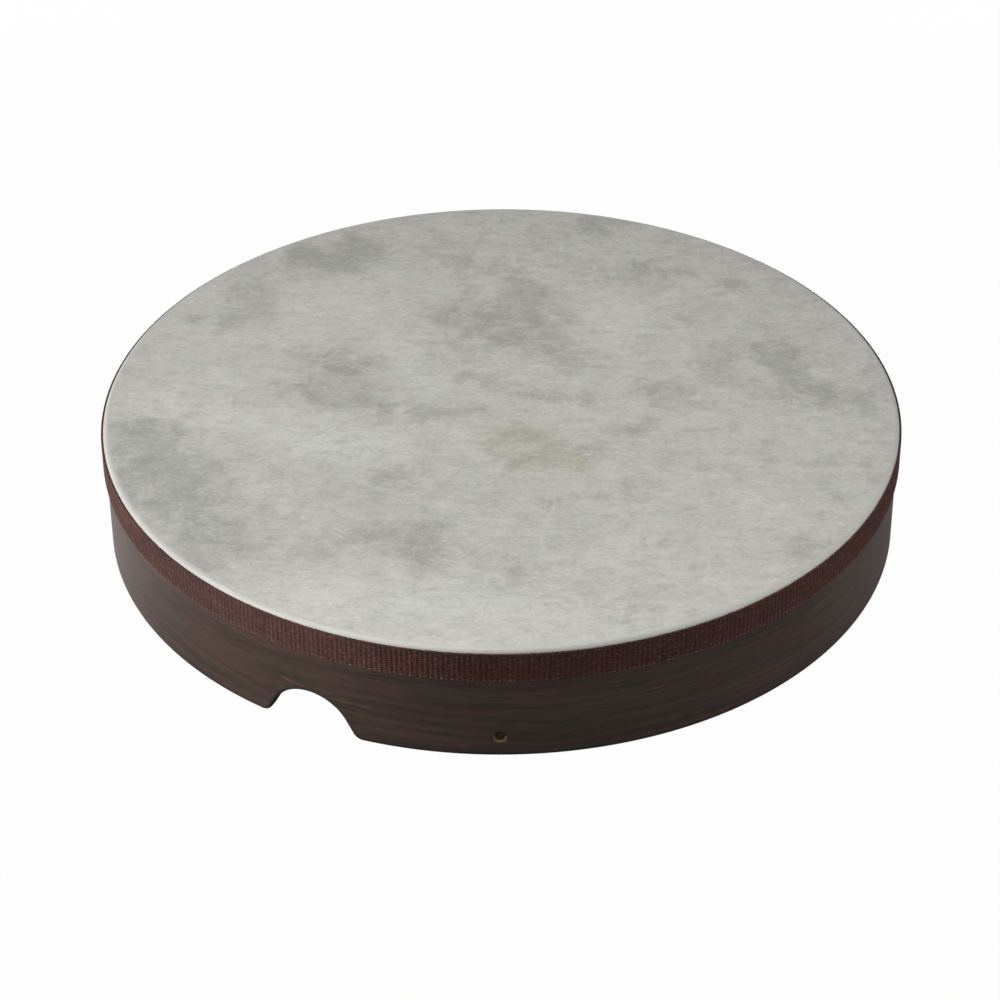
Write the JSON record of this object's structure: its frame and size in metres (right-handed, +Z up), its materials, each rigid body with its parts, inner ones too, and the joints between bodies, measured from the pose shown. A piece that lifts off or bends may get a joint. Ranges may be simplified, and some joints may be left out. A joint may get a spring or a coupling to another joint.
{
  "type": "hand drum",
  "caption": "Shallow round frame drum with a stretched fibre-look head, a dark woodgrain laminated shell, woven trim round the top, a thumb notch and a cord hole.",
  "frame": {"origin": "centre of the open bottom rim, in the plane that the drum stands on", "axes": "+Z up the drum's axis towards the head, -Y towards the cord hole, with the thumb notch 26.6 degrees round from it towards -X"},
  "size_m": [0.4096, 0.4096, 0.0635],
  "materials": {
    "woodgrain": "satin printed woodgrain laminate, very dark brown with redder streaks, grain running round the shell",
    "fibre_ply": "dark brown stained wound fibre, matte",
    "backing": "dark brown matte fibre sheet",
    "head_film": "milky translucent film, satin",
    "head_fibre": "mottled pale grey fibre laminate with warm and cool clouds, satin",
    "webbing": "reddish brown ribbed woven tape, matte"
  },
  "bodies": {
    "root": {"woodgrain_wrap": "woodgrain", "outer_face_ply": "fibre_ply", "shell_core": "fibre_ply", "inner_face_ply": "fibre_ply", "inner_backing_sheet": "backing", "head_base_film": "head_film", "head_fibre_layer": "head_fibre", "trim_webbing": "webbing"}
  },
  "joints": []
}
